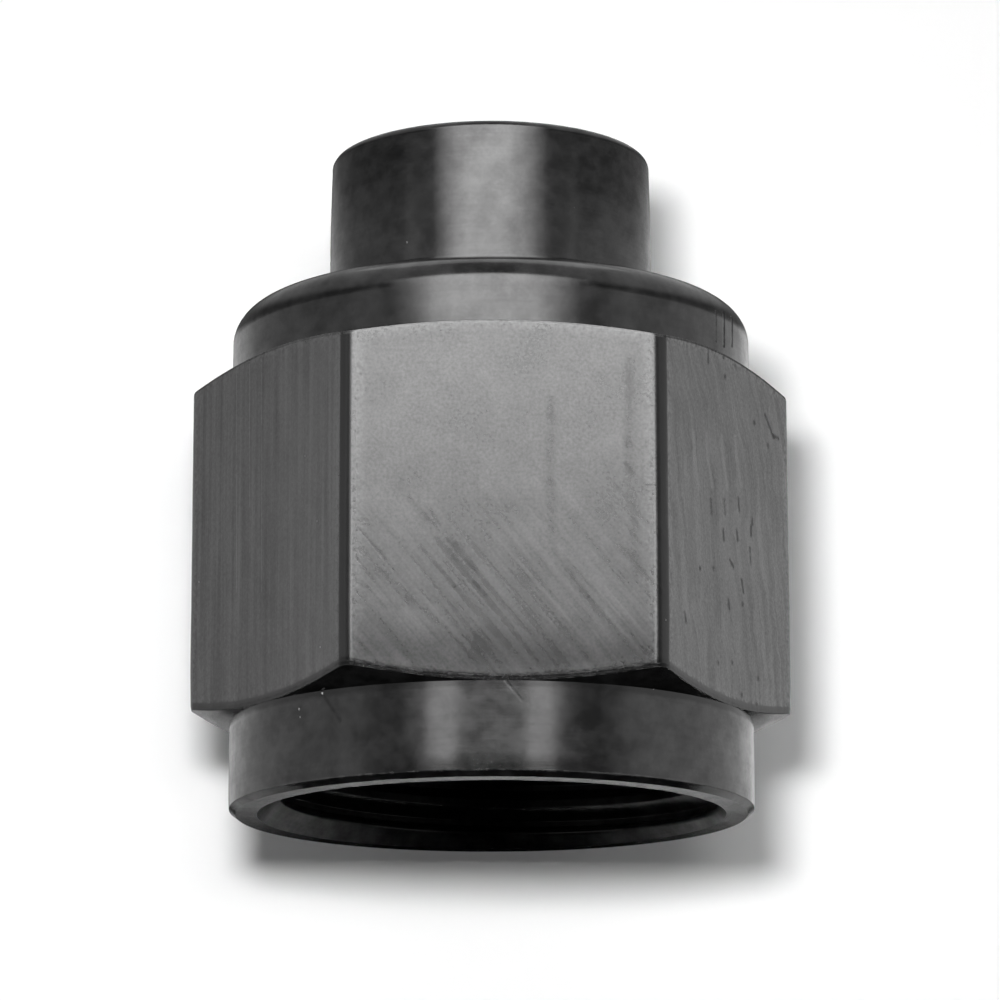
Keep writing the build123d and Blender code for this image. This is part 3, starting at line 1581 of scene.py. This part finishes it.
@dataclass
class Camera:
    """The photograph's camera, found from the cap's own edges in the picture. Degrees and mm.

    Attributes:
        azimuth: Its place round the cap, 0 in front.
        elevation: Its height as an angle, below the horizon here.
        distance: Distance from the target.
        target: The point on the axis that it looks at, as a height.
        focal: Focal length in pixels.
        centre: Where the target lies in the picture, in pixels.
        roll: Lean of the picture.
        sensor: Width of its sensor.
        picture: Width of the picture in pixels.
    """

    azimuth: float = -2.756
    elevation: float = -12.671
    distance: float = 220.3
    target: float = 16.5
    focal: float = 4515.0
    centre: tuple[float, float] = (491.06, 480.76)
    roll: float = -0.1
    sensor: float = 36.0
    picture: float = 1000.0

    def build(self) -> None:
        """Builds the camera and makes it the scene's own."""
        away = direction(self.azimuth, self.elevation)
        data = bpy.data.cameras.new("camera")
        data.sensor_width = self.sensor
        data.lens = self.focal / self.picture * self.sensor
        data.shift_x = (self.picture / 2 - self.centre[0]) / self.picture
        data.shift_y = (self.centre[1] - self.picture / 2) / self.picture
        data.clip_start, data.clip_end = 0.01, 10.0
        place = (Vector((0, 0, self.target)) + away * self.distance) * MM
        lean = Matrix.Rotation(math.radians(self.roll), 4, "Z")
        bpy.context.scene.camera = stand("camera", data, aimed(place, away) @ lean)


@dataclass
class Studio:
    """Sheets, lamps and surroundings of the photograph."""

    sheets: list[Sheet] = field(default_factory=lambda: [
        Sheet("backdrop", (0, 15.5, 72.5), (0, -1, 0), (420, 145), 0.03),
        Sheet("backdrop_foot", (0, 15.5, -12.5), (0, -1, 0), (420, 25), 0.03, True),
        Sheet("floor", (0, 0, -0.03), (0, 0, 1), (900, 900), 0.3),
    ])
    lamps: list[Lamp] = field(default_factory=lambda: [
        Lamp("box_outer", -0.5, 29.5, 73, 34.6, 0.75, Seen.GLOSS, 1500),
        Lamp("box_wide", -1, 29.5, 62, 34.6, 0.85, Seen.GLOSS, 1490),
        Lamp("box_mid", -1, 29.5, 49, 34.6, 0.9, Seen.GLOSS, 1480),
        Lamp("box_core", -1, 29.5, 32, 34.6, 0.85, Seen.GLOSS, 1470),
        Lamp("box_strip", 0, 14.2, 22, 3.2, 1.3, Seen.GLOSS, 1460),
        Lamp("side_left", -50, 17, 26, 6, 0.25, Seen.GLOSS, 1490),
        Lamp("side_right", 50, 17, 26, 6, 0.22, Seen.GLOSS, 1490),
        Lamp("low_left", -21, 9, 12, 7, 2.05, Seen.GLOSS, 1500),
        Lamp("low_right", 21, 9, 12, 7, 2.1, Seen.GLOSS, 1500),
        Lamp("top_gloss", 180, 72, 40, 24, 0.45, Seen.GLOSS, 1500),
        Lamp("overhead", 0, 88, 40, 40, 3.9, Seen.MATT),
        Lamp("key", -3.89, -3.52, 9.91, 6.03, 183.0, Seen.MATT, 155, True),
        Lamp("fill", 8.92, 1.5, 16.9, 5.95, 19.5, Seen.MATT, 239, True),
    ])
    shade: float = 0.65  # share of the surroundings' light that matt faces go without

    def build(self, facing: float, target: Vector) -> None:
        """Builds the whole studio.

        Args:
            facing: Azimuth of the camera's side in degrees.
            target: The point that the lamps face, in metres.
        """
        for sheet in self.sheets:
            sheet.build()
        for lamp in self.lamps:
            lamp.build(facing, target)
        self._surroundings()
        bpy.context.scene.view_settings.view_transform = "Standard"

    def _surroundings(self) -> None:
        """A dim room, lighter behind the cap and dark below it, white for the camera."""
        world = bpy.data.worlds.new("room")
        bpy.context.scene.world = world
        nodes = blank(world)
        x, y, z = nodes.split(nodes.add("TexCoord").outputs["Generated"])
        aside = nodes.math("ABSOLUTE", x)
        walls = nodes.plus(nodes.remap(y, -0.72, -0.42, 0.11, 0.55), nodes.remap(y, 0.5, 0.9, 0.0, 0.12))
        middle = nodes.remap(aside, 0.0, 0.35, 0.4, 1.0)
        above = nodes.remap(z, -0.12, 0.05, 0.0, 1.0)
        ceiling = nodes.plus(nodes.remap(z, 0.24, 0.312, 1.0, 0.15), nodes.remap(z, 0.4, 0.62, 0.0, 0.65))
        leaning = nodes.plus(1.0, nodes.times(x, 0.2))
        room = nodes.times(walls, middle, nodes.times(above, ceiling, leaning))
        table = nodes.minus(nodes.remap(z, -0.32, -0.22, 0.0, 1.0), above)
        table = nodes.math("MAXIMUM", nodes.times(nodes.remap(y, 0.9, 0.96, 0.0, 0.4), table), 0.0)
        beside = nodes.remap(aside, 0.4, 0.6, 0.0, 0.8)
        below = nodes.times(nodes.remap(z, -0.45, -0.37, 0.0, 1.0), nodes.remap(z, -0.2, -0.1, 1.0, 0.0))
        room = nodes.total((table, 1.0), (beside, below), (room, 1.0))
        path = nodes.add("LightPath").outputs
        share = nodes.minus(1.0, nodes.times(path["Is Diffuse Ray"], self.shade))
        strength = nodes.math("MAXIMUM", nodes.times(room, share), path["Is Camera Ray"])
        light = nodes.add("Background", {"Color": WHITE, "Strength": strength})
        nodes.add("OutputWorld", {"Surface": light.outputs[0]})


def main() -> None:
    """Builds the cap, its studio and its camera in order."""
    logging.basicConfig(level=logging.INFO, format="%(name)s: %(message)s")
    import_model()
    _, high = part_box(NODE)
    effects = Effects()
    cap = Cap()
    made = cap.build(high[2] / MM)
    cap.dress(made, effects)
    camera = Camera()
    camera.build()
    Studio().build(camera.azimuth, Vector((0, 0, camera.target * MM)))


if __name__ == "__main__":
    main()
